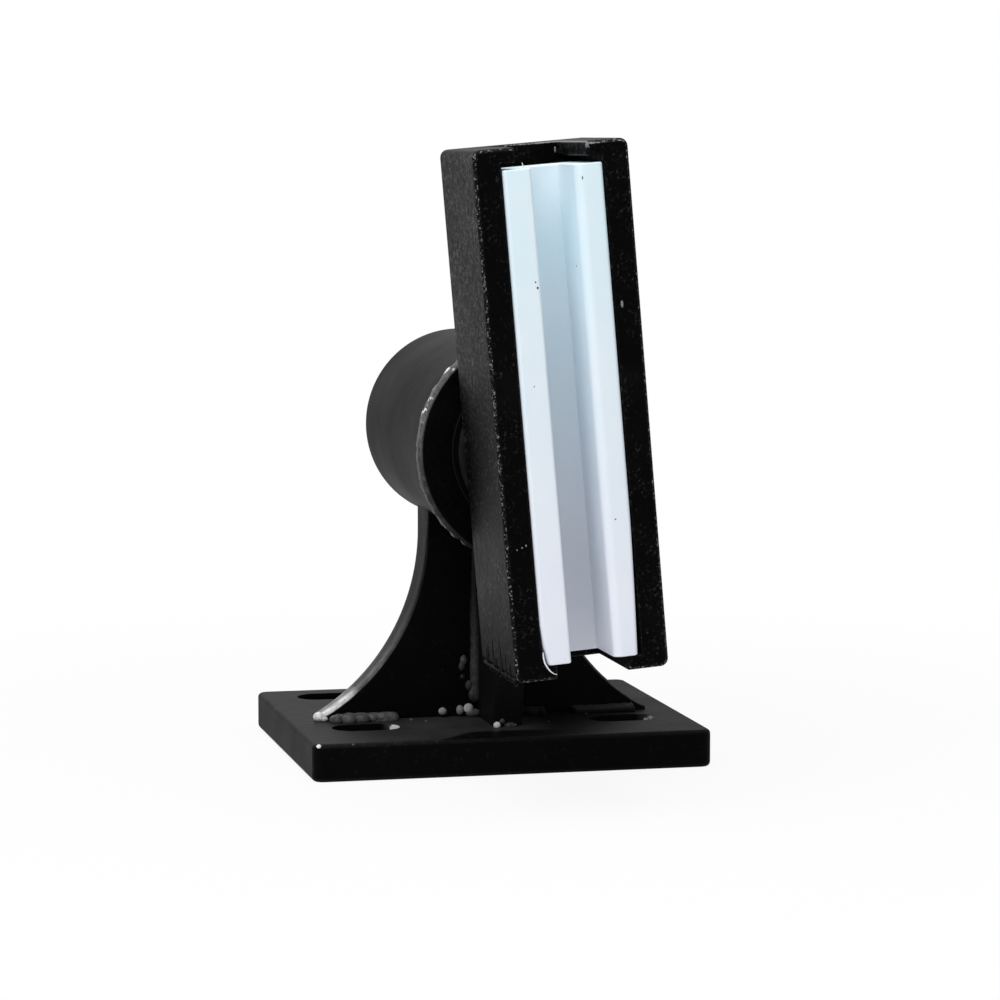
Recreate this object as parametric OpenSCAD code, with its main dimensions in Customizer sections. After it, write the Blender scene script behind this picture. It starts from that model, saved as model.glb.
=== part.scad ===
// Swivelling guide shoe: a welded pedestal carries a barrel, and the head
// with its rail liner turns on a stem in that barrel.
// Front is -Y, up is +Z. The origin is the middle of the base plate's underside.

/* [Base plate] */
// Width of the base plate, left to right
base_w = 107; // [100:1:130]
// Depth of the base plate, front to back
base_d = 92; // [86:1:110]
// Thickness of the base plate
base_t = 10; // [8:0.5:14]
// Radius of the plate's upright corners
base_corner_r = 3; // [2:0.5:6]
// Radius that breaks the plate's level edges
base_edge_r = 1.2; // [0.6:0.1:2]
// Width of each slotted hole
slot_w = 11; // [9:0.5:12]
// Length of each slotted hole, end to end
slot_len = 18; // [14:0.5:20]
// Distance between the left and right hole centres
slot_pitch_x = 70; // [64:1:76]
// Distance between the front and back hole rows
slot_pitch_y = 54; // [53:0.5:60]
// Distance of the hole pattern's middle behind the plate's middle
slot_shift_y = 6; // [4:0.5:6.5]

/* [Web and rib] */
// Thickness of the upright web
web_t = 12; // [8:0.5:13]
// Distance of the web's middle plane in front of the plate's middle
web_y = 3; // [1:0.5:3.5]
// Width of the web's neck below the barrel
neck_w = 32; // [26:1:36]
// Distance of the web's toes from the plate's left and right edges
foot_inset = 8.5; // [6:0.5:12]
// Drop of the neck's narrowest place below the barrel's axis
flank_drop = 27; // [25:0.5:30]
// Height of the blunt toe at each end of the web's foot
toe_h = 1; // [0.6:0.2:3]
// Thickness of the front rib
rib_t = 8; // [6:0.5:10]
// Distance of the rib's middle to the right of the web's middle
rib_x = 2; // [-2:0.5:3]
// Reach of the rib in front of the web at the plate
rib_bottom = 19; // [12:0.5:24]
// Reach of the rib in front of the web at the barrel
rib_top = 36; // [26:0.5:44]
// Leg of the weld beads at the foot
foot_leg = 4.5; // [3:0.5:5]
// Length of the bead at each toe of the web
toe_bead = 19; // [12:1:20]
// Length of the beads beside the rib
inner_bead = 11; // [6:1:12]
// Leg of the upright beads beside the rib
rib_leg = 3.5; // [2:0.5:4]
// Leg of the beads round the barrel
saddle_leg = 3.5; // [2:0.5:5]

/* [Barrel] */
// Height of the barrel's axis above the plate's underside
axis_z = 87; // [83:1:96]
// Outside diameter of the barrel
barrel_od = 52; // [48:0.5:54]
// Inside diameter of the barrel
barrel_id = 40; // [36:0.5:43]
// Distance of the barrel's front end from the plate's middle
barrel_front = 61; // [56:1:70]
// Distance of the barrel's back end from the plate's middle
barrel_back = 25; // [20:1:32]
// Diameter of the front cover
cover_od = 61; // [60:0.5:66]
// Thickness of the front cover
cover_t = 4; // [3:0.5:6]
// Leg of the bead behind the cover
cover_leg = 3.5; // [2:0.5:4]
// Thickness of the ring in the barrel's back end
ring_t = 6; // [4:0.5:8]
// Radial room between the stem and the cover or the back ring
port_room = 2; // [1:0.5:3]
// Length of the front bush
front_bush_len = 25; // [18:1:32]
// Length of the rear bush
rear_bush_len = 20; // [14:1:26]

/* [Stem] */
// Diameter of the stem
stem_d = 20; // [18:0.5:22]
// Diameter of the stem's spigot in the head
spigot_d = 16; // [12:0.5:17]
// Radial running clearance between stem and bush
run_clear = 0.05; // [0.02:0.01:0.1]
// Radial clearance of pieces that are seated in or on one another
seat_clear = 0.05; // [0.02:0.01:0.08]
// Axial play between turning and standing faces
axial_play = 0.3; // [0.2:0.05:0.5]
// Radial room between the stem and the standing thrust washer
washer_room = 0.4; // [0.3:0.1:0.8]
// Diameter of the thrust washer
thrust_od = 43; // [38:0.5:48]
// Thickness of the thrust washer
thrust_t = 2; // [1.5:0.25:3]
// Diameter of the rubber ring behind the head
rubber_od = 40; // [36:0.5:46]
// Diameter of the rear washer
rear_washer_od = 37; // [32:0.5:40]
// Thickness of the rear washer
rear_washer_t = 3; // [2:0.5:4]
// Width across the flats of the castle nut
nut_af = 30; // [30:0.5:34]
// Height of the castle nut's hexagon
nut_h = 14; // [12:0.5:18]
// Height of the castle nut's crown
crown_h = 6; // [5:0.5:7]
// Diameter of the castle nut's crown
crown_od = 28; // [26:0.5:29]
// Width of the slots in the crown
crown_slot = 4.6; // [4.5:0.1:5.5]
// Depth of the bevel at the nut's corners
nut_bevel = 1.5; // [1:0.25:2]
// Diameter of the split pin
pin_d = 3.6; // [3:0.1:4]
// Length of the split pin's bent leg
pin_leg = 7; // [5:0.5:10]
// Length that the stem stands out of the nut
stem_tail = 2.5; // [1.5:0.5:5]

/* [Head] */
// Width of the head
head_w = 38.5; // [36:0.5:46]
// Height of the head
head_h = 129; // [127:0.5:140]
// Depth of the head, front to back
head_d = 38; // [36:0.5:46]
// Radius of the head's outer edges
head_edge_r = 2; // [1:0.25:3]
// Gap between the barrel's cover and the head
head_gap = 6.5; // [5:0.25:9]
// Height of the head's middle above the barrel's axis
head_lift = 13; // [8:0.5:16]
// Lean of the head to the left, as it was left standing
head_lean = 4.9; // [0:0.1:10]
// Width of the rail notch in both end walls
notch_w = 17.5; // [15:0.5:20]
// Depth of the plug weld round the spigot
plug_depth = 2.5; // [1.5:0.25:3]

/* [Liner] */
// Width of the liner
liner_w = 24.6; // [22:0.2:26]
// Height of the liner
liner_h = 120; // [116:0.5:121]
// Depth of the liner, front to back
liner_d = 25; // [23:0.5:26]
// Distance that the liner stands proud of the head
liner_proud = 1; // [0.5:0.25:2]
// Radius of the liner's outer edges
liner_edge_r = 1; // [0.5:0.25:1.5]
// Side clearance of the liner in the recess
liner_side = 0.1; // [0.05:0.05:0.3]
// Gap above the liner in the recess
liner_top_gap = 1.6; // [1:0.1:3]
// Thickness of the rail blade that runs in the liner
rail_blade = 10; // [8:0.5:12]
// Play on each side of the rail blade
rail_play = 0.35; // [0.2:0.05:0.6]
// Depth of the liner's rail slot
rail_depth = 17; // [14:0.5:18]
// Thickness of the rubber pad behind the liner
pad_t = 5; // [3:0.5:6]

/* [Hidden] */
$fn = 96;
eps = 1;

barrel_r = barrel_od / 2;
stem_r = stem_d / 2;
spigot_r = spigot_d / 2;
rail_slot = rail_blade + 2 * rail_play;

// The web's faces, and the flank's arc: upright at the neck, down to the toe
web_front = -web_y - web_t / 2;
web_back = -web_y + web_t / 2;
flank_z = axis_z - flank_drop;
foot_half = base_w / 2 - foot_inset;
flare = foot_half - neck_w / 2;
flank_rise = flank_z - base_t - toe_h;
flank_r = (flare * flare + flank_rise * flank_rise) / (2 * flare);
flank_x = neck_w / 2 + flank_r;
rib_left = rib_x - rib_t / 2;
rib_right = rib_x + rib_t / 2;
rib_foot = web_front - rib_bottom;

// Planes along the barrel's axis, from the front to the back
cover_face = -barrel_front - cover_t;
head_back = cover_face - head_gap;
head_front = head_back - head_d;
recess_d = liner_d + pad_t - liner_proud;
recess_floor = head_front + recess_d;
rubber_t = head_gap - thrust_t - axial_play;
rear_washer_y = barrel_back + axial_play;
nut_y = rear_washer_y + rear_washer_t;
pin_y = nut_y + nut_h + crown_h / 2;
pin_turn = 210;
leg_d = 0.8 * pin_d;
leg_x = nut_af / 2 + leg_d / 2 + seat_clear;
eye_r = 1.1 * pin_d;
stem_end = nut_y + nut_h + crown_h + stem_tail;

// The recess is as wide as the liner and a little higher
recess_w = liner_w + 2 * liner_side;
recess_h = liner_h + liner_top_gap;
recess_low = head_lift - recess_h / 2;

paint = [0.035, 0.035, 0.04];
bead = [0.10, 0.10, 0.11];
steel = [0.55, 0.56, 0.58];
rubber = [0.05, 0.05, 0.05];
white = [0.86, 0.89, 0.94];
nylon = [0.80, 0.76, 0.64];

// Outline with round corners, centred
module round_outline(w, h, r) {
  square([w - 2 * r, h], center = true);
  square([w, h - 2 * r], center = true);
  for (sx = [-1, 1])
    for (sy = [-1, 1])
      translate([sx * (w / 2 - r), sy * (h / 2 - r)])
        circle(r);
}

// Block with round edges, centred: three outlines crossed with one another
module round_block(w, d, h, upright_r, level_r) {
  intersection() {
    translate([0, 0, -h / 2])
      linear_extrude(h)
        round_outline(w, d, upright_r);
    translate([0, d / 2, 0])
      rotate([90, 0, 0])
        linear_extrude(d)
          round_outline(w, h, level_r);
    translate([-w / 2, 0, 0])
      rotate([90, 0, 90])
        linear_extrude(w)
          round_outline(d, h, level_r);
  }
}

// Cylinder along +Y from one plane to another
module shaft(r, y0, y1) {
  translate([0, y0, 0])
    rotate([-90, 0, 0])
      cylinder(r = r, h = y1 - y0);
}

// Tube along +Y
module sleeve(r_out, r_in, y0, y1) {
  difference() {
    shaft(r_out, y0, y1);
    shaft(r_in, y0 - eps, y1 + eps);
  }
}

// Places what is drawn about the barrel's axis
module on_axis() {
  translate([0, 0, axis_z])
    children();
}

// Places what turns with the head
module turned() {
  on_axis()
    rotate([0, -head_lean, 0])
      children();
}

// Places the split pin's line through the crown
module on_pin() {
  translate([0, pin_y, 0])
    rotate([0, pin_turn, 0])
      children();
}

// Round bead in the corner of two faces: runs along +X, fills -Y and +Z
module bead_bar(len, leg) {
  rotate([90, 0, 90])
    linear_extrude(len)
      intersection() {
        circle(leg);
        translate([-leg, 0])
          square(leg);
      }
}

// Bead round the barrel: way is 1 towards +Y, -1 towards -Y
module bead_ring(leg, y, way) {
  translate([0, y, 0])
    rotate([-90 * way, 0, 0])
      rotate_extrude()
        translate([barrel_r, 0])
          intersection() {
            circle(leg);
            square(leg);
          }
}

module slot_cut(x, y) {
  reach = (slot_len - slot_w) / 2;
  translate([x, y, -eps])
    linear_extrude(base_t + 2 * eps) {
      square([2 * reach, slot_w], center = true);
      for (s = [-1, 1])
        translate([s * reach, 0])
          circle(slot_w / 2);
    }
}

module base_plate() {
  color(paint)
    difference() {
      translate([0, 0, base_t / 2])
        round_block(base_w, base_d, base_t, base_corner_r, base_edge_r);
      for (sx = [-1, 1])
        for (sy = [-1, 1])
          slot_cut(sx * slot_pitch_x / 2, slot_shift_y + sy * slot_pitch_y / 2);
    }
}

module web_outline() {
  difference() {
    translate([-foot_half, base_t])
      square([2 * foot_half, flank_z - base_t]);
    for (s = [-1, 1])
      translate([s * flank_x, flank_z])
        circle(flank_r);
  }
  translate([-neck_w / 2, flank_z])
    square([neck_w, flank_drop]);
}

module web_plate() {
  color(paint)
    difference() {
      translate([0, web_back, 0])
        rotate([90, 0, 0])
          linear_extrude(web_t)
            web_outline();
      on_axis()
        shaft(barrel_r, web_front - eps, web_back + eps);
    }
}

module rib_solid() {
  translate([rib_left, 0, 0])
    rotate([90, 0, 90])
      linear_extrude(rib_t)
        polygon([[web_front, base_t], [rib_foot, base_t],
                 [web_front - rib_top, axis_z], [web_front, axis_z]]);
}

module front_rib() {
  color(paint)
    difference() {
      rib_solid();
      on_axis()
        shaft(barrel_r, -barrel_front, web_front + eps);
    }
}

module barrel() {
  color(paint)
    on_axis()
      sleeve(barrel_r, barrel_id / 2, -barrel_front, barrel_back);
}

module barrel_cover() {
  color(paint)
    on_axis()
      sleeve(cover_od / 2, stem_r + port_room, cover_face, -barrel_front);
}

module rear_ring() {
  color(paint)
    on_axis()
      sleeve(barrel_id / 2 - seat_clear, stem_r + port_room, barrel_back - ring_t, barrel_back);
}

// Bead on the plate along the web's front (side -1) or back (side 1)
module foot_bead(x0, x1, side) {
  translate([side < 0 ? x0 : x1, side < 0 ? web_front : web_back, base_t])
    rotate([0, 0, side < 0 ? 0 : 180])
      bead_bar(x1 - x0, foot_leg);
}

module foot_weld() {
  toe = foot_half - 2 * toe_h;
  color(bead) {
    for (side = [-1, 1]) {
      foot_bead(-toe, -toe + toe_bead, side);
      foot_bead(toe - toe_bead, toe, side);
    }
    foot_bead(rib_left - inner_bead, rib_left, -1);
    foot_bead(rib_right, rib_right + inner_bead, -1);
    foot_bead(-inner_bead, inner_bead, 1);
    difference() {
      translate([rib_left, rib_foot, base_t])
        bead_bar(rib_t, foot_leg);
      rib_solid();
    }
  }
}

module rib_weld() {
  z0 = base_t + foot_leg;
  z1 = axis_z - barrel_r - saddle_leg;
  color(bead)
    translate([rib_x, web_front, z0])
      for (s = [0, 1])
        mirror([s, 0, 0])
          translate([rib_t / 2, 0, 0])
            linear_extrude(z1 - z0)
              intersection() {
                circle(rib_leg);
                translate([0, -rib_leg])
                  square(rib_leg);
              }
}

module saddle_weld() {
  color(bead)
    on_axis() {
      difference() {
        intersection() {
          bead_ring(saddle_leg, web_front, -1);
          translate([-neck_w / 2, web_front - saddle_leg - eps, -barrel_od])
            cube([neck_w, saddle_leg + eps, barrel_od]);
        }
        translate([rib_left, web_front - saddle_leg - 2 * eps, -2 * barrel_od])
          cube([rib_t, saddle_leg + 4 * eps, 2 * barrel_od]);
      }
      intersection() {
        bead_ring(saddle_leg, web_back, 1);
        translate([-neck_w / 2, web_back, -barrel_od])
          cube([neck_w, saddle_leg + eps, barrel_od]);
      }
    }
}

module cover_weld() {
  color(bead)
    on_axis()
      bead_ring(cover_leg, -barrel_front, 1);
}

module front_bush() {
  color(nylon)
    on_axis()
      sleeve(barrel_id / 2 - seat_clear, stem_r + run_clear, -barrel_front, -barrel_front + front_bush_len);
}

module rear_bush() {
  back = barrel_back - ring_t;
  color(nylon)
    on_axis()
      sleeve(barrel_id / 2 - seat_clear, stem_r + run_clear, back - rear_bush_len, back);
}

module thrust_washer() {
  color(steel)
    on_axis()
      sleeve(thrust_od / 2, stem_r + washer_room, cover_face - thrust_t, cover_face);
}

module head_block() {
  color(paint)
    turned()
      difference() {
        translate([0, head_front + head_d / 2, head_lift])
          round_block(head_w, head_d, head_h, head_edge_r, head_edge_r);
        translate([-recess_w / 2, head_front - eps, recess_low])
          cube([recess_w, recess_d + eps, recess_h]);
        translate([-notch_w / 2, head_front - eps, head_lift - head_h / 2 - eps])
          cube([notch_w, recess_d + eps, head_h + 2 * eps]);
        shaft(spigot_r + seat_clear, recess_floor - eps, head_back + eps);
        translate([0, recess_floor, 0])
          rotate([-90, 0, 0])
            cylinder(r1 = spigot_r + plug_depth, r2 = spigot_r, h = plug_depth);
      }
}

// Channel section of the liner, seen from above: its mouth is towards -Y
module liner_section() {
  difference() {
    translate([0, liner_d / 2])
      round_outline(liner_w, liner_d, liner_edge_r);
    translate([-rail_slot / 2, -eps])
      square([rail_slot, rail_depth + eps]);
  }
}

module liner() {
  color(white)
    turned()
      translate([0, head_front - liner_proud, recess_low])
        linear_extrude(liner_h)
          liner_section();
}

module liner_pad() {
  color(rubber)
    turned()
      translate([-liner_w / 2, recess_floor - pad_t, recess_low])
        cube([liner_w, pad_t, liner_h]);
}

module stem() {
  color(steel)
    turned()
      difference() {
        union() {
          shaft(spigot_r, recess_floor, head_back);
          shaft(stem_r, head_back, stem_end);
        }
        on_pin()
          rotate([0, 90, 0])
            cylinder(d = pin_d + 2 * seat_clear, h = 2 * stem_d, center = true);
      }
}

module stem_weld() {
  color(bead)
    turned()
      translate([0, recess_floor, 0])
        rotate([-90, 0, 0])
          difference() {
            cylinder(r1 = spigot_r + plug_depth, r2 = spigot_r, h = plug_depth);
            translate([0, 0, -eps])
              cylinder(r = spigot_r + seat_clear, h = plug_depth + 2 * eps);
          }
}

module rubber_ring() {
  color(rubber)
    turned()
      sleeve(rubber_od / 2, stem_r + seat_clear, head_back, head_back + rubber_t);
}

module rear_washer() {
  color(steel)
    turned()
      sleeve(rear_washer_od / 2, stem_r + seat_clear, rear_washer_y, nut_y);
}

module castle_nut() {
  corner = nut_af / sqrt(3);
  color(steel)
    turned()
      translate([0, nut_y, 0])
        rotate([-90, 0, 0])
          difference() {
            union() {
              intersection() {
                cylinder(r = corner, h = nut_h, $fn = 6);
                rotate_extrude()
                  polygon([[0, 0], [corner - nut_bevel, 0], [corner, nut_bevel],
                           [corner, nut_h - nut_bevel], [corner - nut_bevel, nut_h], [0, nut_h]]);
              }
              translate([0, 0, nut_h])
                cylinder(d = crown_od, h = crown_h);
            }
            translate([0, 0, -eps])
              cylinder(r = stem_r + seat_clear, h = nut_h + crown_h + 2 * eps);
            for (i = [0 : 2])
              rotate([0, 0, 60 * i + 30])
                translate([-crown_od, -crown_slot / 2, nut_h])
                  cube([2 * crown_od, crown_slot, crown_h + eps]);
          }
}

module split_pin() {
  eye_x = crown_od / 2 + leg_d / 2 + seat_clear;
  color(steel)
    turned()
      on_pin() {
        translate([-eye_x, 0, 0])
          rotate([0, 90, 0])
            cylinder(d = pin_d, h = eye_x + leg_x);
        translate([-eye_x - eye_r, 0, 0])
          rotate([90, 0, 0])
            rotate_extrude()
              translate([eye_r, 0])
                circle(d = leg_d);
        translate([leg_x, 0, 0])
          rotate([90, 0, 0])
            cylinder(d = leg_d, h = pin_leg);
      }
}

base_plate();
web_plate();
front_rib();
barrel();
barrel_cover();
rear_ring();
foot_weld();
rib_weld();
saddle_weld();
cover_weld();
front_bush();
rear_bush();
thrust_washer();
head_block();
liner();
liner_pad();
stem();
stem_weld();
rubber_ring();
rear_washer();
castle_nut();
split_pin();
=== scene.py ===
import math
import random

import bmesh
import bpy
from mathutils import Matrix, Vector, noise


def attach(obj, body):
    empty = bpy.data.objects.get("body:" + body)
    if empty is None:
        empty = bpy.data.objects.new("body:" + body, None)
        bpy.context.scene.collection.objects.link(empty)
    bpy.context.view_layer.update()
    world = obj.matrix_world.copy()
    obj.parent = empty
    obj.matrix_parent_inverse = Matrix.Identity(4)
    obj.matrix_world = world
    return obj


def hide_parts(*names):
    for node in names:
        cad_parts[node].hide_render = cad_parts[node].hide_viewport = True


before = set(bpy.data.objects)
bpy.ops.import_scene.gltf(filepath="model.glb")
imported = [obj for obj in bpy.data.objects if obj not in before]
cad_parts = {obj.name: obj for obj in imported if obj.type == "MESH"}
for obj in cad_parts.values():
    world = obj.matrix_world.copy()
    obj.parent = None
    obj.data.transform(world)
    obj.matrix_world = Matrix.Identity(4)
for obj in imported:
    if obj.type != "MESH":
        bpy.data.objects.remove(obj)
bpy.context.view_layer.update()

# ---------------------------------------------------------------- sizes
# All in millimetres, as in the part's own source. MM turns them into metres.
MM = 0.001
AXIS_Z = 87
LEAN = math.radians(4.9)

BASE_W, BASE_D, BASE_T = 107, 92, 10
BASE_CORNER, BASE_EDGE = 3, 1.2
SLOT_R, SLOT_REACH = 5.5, 3.5
SLOT_X, SLOT_ROWS = 35, (-21, 33)

WEB_FRONT, WEB_BACK = -9, 3
NECK, FOOT, TOE_Z, FLANK_Z = 16, 45, 11, 60
FLARE = FOOT - NECK
FLANK_R = (FLARE ** 2 + (FLANK_Z - TOE_Z) ** 2) / (2 * FLARE)
FLANK_X = NECK + FLANK_R
RIB_LEFT, RIB_RIGHT, RIB_FOOT, RIB_HEAD = -2, 6, -28, -45

BARREL_R, BORE_R, BARREL_FRONT, BARREL_BACK = 26, 20, -61, 25
COVER_R, COVER_FACE, PORT_R = 30.5, -65, 12
STEM_R, SPIGOT_R, STEM_END = 10, 8, 50.8
PIN_Y, PIN_TURN = 45.3, math.radians(210)

HEAD_W, HEAD_H, HEAD_LIFT = 38.5, 129, 13
HEAD_BACK, HEAD_FRONT, RECESS_FLOOR = -71.5, -109.5, -80.5
RECESS, NOTCH, RECESS_LOW, RECESS_HIGH = 12.4, 8.75, -47.8, 73.8
LINER, LINER_FRONT, LINER_BACK, LINER_H = 12.3, -110.3, -85.5, 120
RAIL, RAIL_FLOOR = 5.35, -93.5

RING_FRONT, SEAT_GAP = 19, 0.05
DISC_BORE, DISC_R, DISC_FRONT = 10.4, 21.5, -67
THREAD_START, THREAD_PITCH, THREAD_TURNS, THREAD_DEPTH = 28, 2.0, 10, 0.9

# The camera and where it looks, in metres
CAMERA_AT, CAMERA_AIM = (-0.212425, -0.944819, 0.166972), (0.22444748, 0.96912962, -0.10203482)
CAMERA_LENS, CAMERA_SENSOR = 129.05, 36

# The mesh value that says how far the paint is worn, which on some pieces instead carries painted highlights,
# and on the liner painted shade, and one seeded source of chance
WEAR_AND_PAINTED_LIGHT = "worn"
DICE = random.Random(41)

# Weld scales are shaded soft up to this angle
BEAD_SMOOTH = 75

# Places what sits about the barrel's axis, and what turns with the head, which leans left
ON_AXIS = Matrix.Translation((0, 0, AXIS_Z * MM))
TURN = ON_AXIS @ Matrix.Rotation(-LEAN, 4, "Y")

# Lumps: place, radius, stretch and how bright each is painted, as a painted highlight.
# Weld metal: the left toe and its bead, beside the rib, before the rib, and stray balls
SPATTER = [
    ((-45.3, -8.0, 11.0), 1.5, (1.1, 1.0, 0.9), 0.95), ((-44.2, -9.6, 10.6), 0.95, (1.2, 1.0, 0.8), 0.6),
    ((-41.2, -11.6, 10.5), 1.9, (1.1, 1.6, 0.8), 0.05), ((-38.0, -12.2, 10.5), 2.0, (1.2, 1.6, 0.9), 0.07),
    ((-34.4, -11.8, 10.5), 2.0, (1.3, 1.5, 0.8), 0.06), ((-31.3, -11.2, 10.7), 1.5, (1.1, 1.4, 0.9), 0.09),
    ((-28.7, -11.0, 10.8), 1.5, (1.2, 1.3, 0.8), 0.12), ((-11.8, -10.0, 11.6), 1.1, (1.1, 1.0, 1.0), 0.4),
    ((-7.0, -10.0, 11.8), 1.2, (0.9, 1.0, 1.2), 0.3), ((-4.7, -10.2, 12.2), 1.3, (1.1, 1.0, 1.1), 0.6),
    ((-3.4, -10.4, 11.0), 1.5, (1.5, 1.0, 0.8), 0.1), ((-5.8, -9.0, 25.2), 1.0, (1.0, 0.8, 1.5), 0.09),
    ((-6.3, -9.0, 23.6), 1.0, (0.9, 0.8, 1.3), 0.07), ((-6.0, -8.9, 20.6), 0.8, (1.1, 0.8, 1.1), 0.02),
    ((-4.4, -9.6, 18.4), 1.1, (1.0, 1.0, 1.3), 0.05), ((-3.6, -10.0, 16.0), 1.2, (0.9, 1.0, 1.6), 0.05),
    ((-1.2, -29.2, 10.5), 1.0, (1.0, 1.0, 1.0), 1.0), ((0.4, -28.4, 11.4), 0.8, (1.0, 0.8, 1.0), 0.06),
    ((2.6, -29.0, 10.3), 1.3, (1.4, 1.0, 0.7), 0.05), ((-52.0, -45.2, 9.5), 0.7, (1.0, 1.0, 0.8), 1.0),
    ((-21.0, -13.0, 10.1), 0.5, (1.1, 1.0, 0.8), 0.1), ((-17.5, -15.5, 10.0), 0.4, (1.1, 1.0, 0.8), 0.1),
    ((22.0, 6.0, 10.2), 0.8, (1.1, 1.0, 0.8), 0.1), ((-19.0, 6.5, 10.2), 0.9, (1.1, 1.0, 0.8), 0.1),
    ((8.5, 4.0, 30.0), 0.8, (1.0, 1.0, 1.0), 0.0), ((-7.0, 3.8, 22.0), 0.6, (1.0, 1.0, 1.0), 0.0),
    ((27.0, -14.0, 10.0), 0.6, (1.1, 1.0, 0.8), 0.0), ((14.0, -24.0, 10.0), 0.5, (1.1, 1.0, 0.8), 0.0),
    ((-24.5, 30.0, 10.0), 0.5, (1.1, 1.0, 0.8), 0.0)]

# Paint on the head's front, its left front edge and the recess floor
PAINT_LUMPS = [
    ((14.5, HEAD_FRONT, 37.7), 0.45, (0.8, 0.6, 2.0), 3.0),
    ((17.4, HEAD_FRONT, 63.7), 0.4, (2.2, 0.3, 0.6), 0.6),
    ((-18.4, HEAD_FRONT + 0.9, 62.7), 0.5, (1, 1, 1.2), 1.0),
    ((8.2, RECESS_FLOOR, 75.3), 0.3, (0.9, 0.6, 2.8), 3.0),
    ((-18.5, HEAD_FRONT + 0.8, 14.2), 0.55, (1, 1, 1.4), 1.0),
    ((-18.3, HEAD_FRONT + 0.6, -45.7), 0.45, (1, 1, 1.3), 3.0),
    ((-16.1, HEAD_FRONT, -23.8), 0.35, (1.6, 0.5, 1), 0.4),
    ((15.4, HEAD_FRONT, -37.2), 0.5, (1.5, 0.4, 1), 0.4),
    ((16.6, HEAD_FRONT, -32.5), 0.45, (1.2, 0.4, 1.2), 0.4),
    ((-14.1, HEAD_FRONT, -18.1), 0.2, (1, 0.5, 1.5), 3.0),
    ((-15.1, HEAD_FRONT, -18.5), 0.2, (1.2, 0.5, 1), 3.0),
    ((-16.4, HEAD_FRONT, -18.9), 0.16, (1, 0.5, 1.3), 3.0)]

# Grit on the slot's right wall and on the liner's front
GRIT = [
    ((RAIL, LINER_FRONT + 6.2, 47.6), 0.22, (0.4, 1, 1), 0.0),
    ((-6.6, LINER_FRONT, 45.0), 0.2, (1, 0.4, 1), 0.0),
    ((-6.2, LINER_FRONT, 43.6), 0.25, (1, 0.4, 1.2), 0.0),
    ((7.0, LINER_FRONT, 68.8), 0.18, (0.7, 0.4, 2.4), 0.0),
    ((-9.0, LINER_FRONT, 20.1), 0.16, (1, 0.4, 1), 0.0),
    ((8.4, LINER_FRONT, -14.0), 0.16, (1.5, 0.4, 1), 0.0)]

# Drops on the head's lower left edge: share of the way back, how far they hang, width
DROPS = [(0.04, 1.0, 1.2), (0.16, 0.5, 1.6), (0.3, 0.8, 1.1), (0.41, 0.5, 1.9),
         (0.57, 1.1, 1.3), (0.66, 0.6, 1.7), (0.83, 1.3, 1.4), (0.95, 0.8, 1.8)]


def mm(x, y, z):
    return Vector((x, y, z)) * MM


# ---------------------------------------------------------------- shader nodes
def add(tree, kind, settings=None, **inputs):
    """Adds a node. Inputs are named sockets: a socket is linked, a value is set."""
    made = tree.nodes.new("ShaderNode" + kind)
    for key, value in (settings or {}).items():
        setattr(made, key, value)
    for key, value in inputs.items():
        feed(tree, made.inputs[key.replace("_", " ")], value)
    return made


def feed(tree, socket, value):
    if isinstance(value, bpy.types.NodeSocket):
        tree.links.new(value, socket)
    else:
        socket.default_value = value


def sums(tree, operation, *values):
    made = tree.nodes.new("ShaderNodeMath")
    made.operation = operation
    for socket, value in zip(made.inputs, values):
        feed(tree, socket, value)
    return made.outputs[0]


def blend_colours(tree, share, first, second):
    made = tree.nodes.new("ShaderNodeMix")
    made.data_type = "RGBA"
    for place, value in ((0, share), (6, first), (7, second)):
        feed(tree, made.inputs[place], value)
    return made.outputs[2]


def span(tree, value, low, high, to_low=0.0, to_high=1.0):
    made = add(tree, "MapRange", {"interpolation_type": "SMOOTHSTEP"}, Value=value)
    for place, number in zip((1, 2, 3, 4), (low, high, to_low, to_high)):
        feed(tree, made.inputs[place], number)
    return made.outputs[0]


def grain(tree, where, scale, detail=2.0, rough=0.5):
    made = add(tree, "TexNoise", Vector=where, Scale=scale, Detail=detail, Roughness=rough)
    return made.outputs[0]


def new_group(name, takes, gives):
    group = bpy.data.node_groups.new(name, "ShaderNodeTree")
    for label, kind in takes:
        group.interface.new_socket(label, in_out="INPUT", socket_type="NodeSocket" + kind)
    for label, kind in gives:
        group.interface.new_socket(label, in_out="OUTPUT", socket_type="NodeSocket" + kind)
    return group, group.nodes.new("NodeGroupInput").outputs, group.nodes.new("NodeGroupOutput").inputs


def use(tree, group, **inputs):
    made = tree.nodes.new("ShaderNodeGroup")
    made.node_tree = group
    for key, value in inputs.items():
        feed(tree, made.inputs[key.replace("_", " ")], value)
    return made.outputs


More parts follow.
